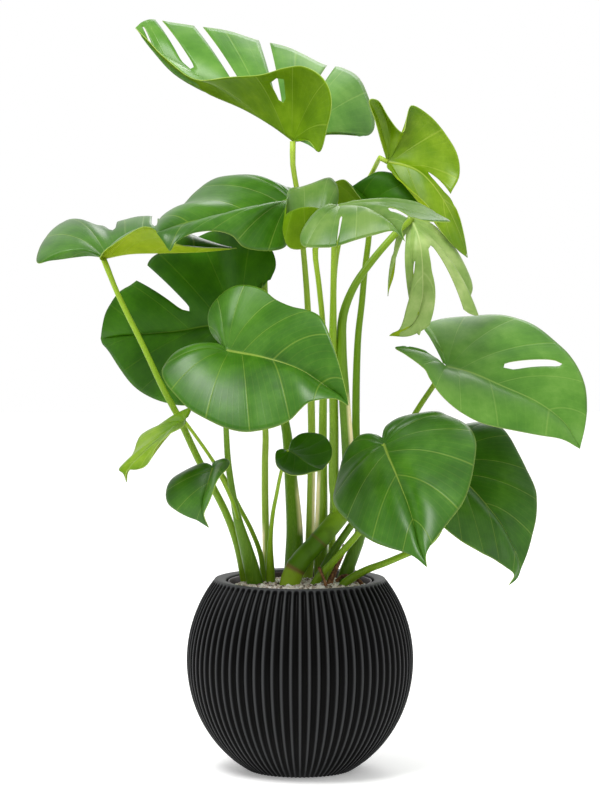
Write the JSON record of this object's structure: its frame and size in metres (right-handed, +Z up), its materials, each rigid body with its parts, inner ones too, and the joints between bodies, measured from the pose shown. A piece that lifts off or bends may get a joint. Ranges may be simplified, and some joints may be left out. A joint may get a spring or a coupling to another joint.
{
  "type": "potted monstera plant",
  "caption": "Tall Swiss cheese plant with split and heart-shaped leaves on long petioles, in pale granulate, in a matt black ribbed ball planter.",
  "frame": {"origin": "centre of the planter's foot, on the surface it stands on", "axes": "+Z up, -Y towards the viewer of the picture, +X to the viewer's right"},
  "size_m": [0.6933, 0.4229, 0.9613],
  "materials": {
    "planter": "matt, ribbed",
    "culture_pot": "satin",
    "granulate": "rough grains",
    "water_gauge": "clear gloss",
    "leaf": "leathery, soft sheen",
    "young_leaf": "leathery, soft sheen",
    "petiole": "smooth, soft sheen",
    "stem": "smooth, ringed",
    "root": "dry"
  },
  "bodies": {
    "root": {"planter": "planter", "culture_pot": "culture_pot", "granulate": "granulate", "water_gauge": "water_gauge", "main_stem": "stem", "blade_top_leaf": "leaf", "blade_upper_right_leaf": "young_leaf", "blade_curled_leaf": "leaf", "blade_front_leaf": "leaf", "blade_mid_left_leaf": "leaf", "blade_rear_leaf": "leaf", "blade_hanging_leaf": "leaf", "blade_left_leaf": "young_leaf", "blade_back_left_leaf": "leaf", "blade_heart_leaf": "leaf", "blade_right_leaf": "leaf", "blade_low_right_leaf": "leaf", "blade_low_back_leaf": "leaf", "blade_small_left_leaf": "leaf", "blade_small_cupped_leaf": "leaf", "blade_lance_leaf": "young_leaf", "petiole_top_leaf": "petiole", "petiole_upper_right_leaf": "petiole", "petiole_curled_leaf": "petiole", "petiole_front_leaf": "petiole", "petiole_mid_left_leaf": "petiole", "petiole_rear_leaf": "petiole", "petiole_hanging_leaf": "petiole", "petiole_left_leaf": "petiole", "petiole_back_left_leaf": "petiole", "petiole_heart_leaf": "petiole", "petiole_right_leaf": "petiole", "petiole_low_right_leaf": "petiole", "petiole_low_back_leaf": "petiole", "petiole_small_left_leaf": "petiole", "petiole_small_cupped_leaf": "petiole", "petiole_lance_leaf": "petiole", "aerial_root_left": "root", "aerial_root_right": "root", "dry_sheath": "root"}
  },
  "joints": []
}
